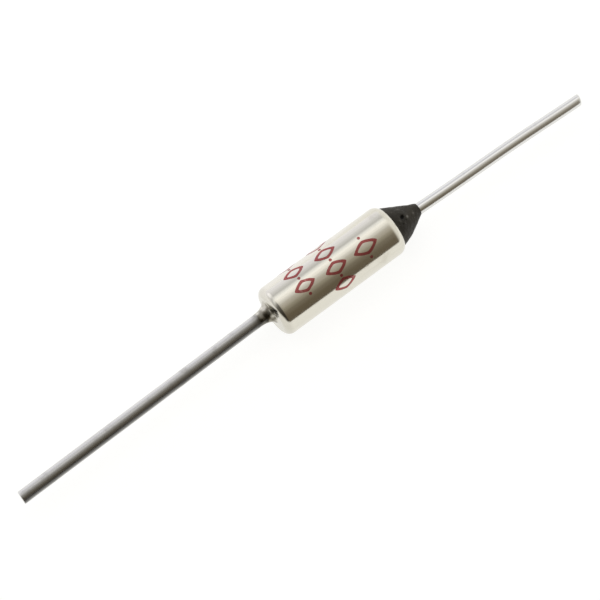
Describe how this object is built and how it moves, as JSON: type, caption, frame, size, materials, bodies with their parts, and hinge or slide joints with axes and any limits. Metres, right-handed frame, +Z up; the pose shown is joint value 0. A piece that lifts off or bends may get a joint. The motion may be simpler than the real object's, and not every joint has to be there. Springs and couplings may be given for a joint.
{
  "type": "thermal fuse",
  "caption": "Thermal fuse: a plated metal case with a necked closed end, a dark resin cone over its open end, and a straight wire lead at each end.",
  "frame": {"origin": "middle of the case's length, on the case's axis", "axes": "+X along the case's axis towards the resin cone and the isolated lead, +Z up, -Y towards the side both leads lean to"},
  "size_m": [0.0506, 0.004, 0.004],
  "materials": {
    "case_plating": "polished warm silver plating",
    "tinned_wire": "satin tinned wire",
    "plated_wire": "bright plated wire",
    "resin": "matt charcoal cast resin",
    "pellet": "pressed waxy organic compound",
    "disc_brass": "blanked sheet",
    "spring_steel": "drawn wire",
    "contact_silver": "silver alloy sheet",
    "ceramic": "unglazed pressed ceramic"
  },
  "bodies": {
    "root": {"case": "case_plating", "case_lead": "tinned_wire", "thermal_pellet": "pellet", "pellet_disc": "disc_brass", "main_spring": "spring_steel", "contact_disc": "disc_brass", "star_contact": "contact_silver", "trip_spring": "spring_steel", "ceramic_bushing": "ceramic", "isolated_lead": "plated_wire", "resin_seal": "resin"}
  },
  "joints": []
}
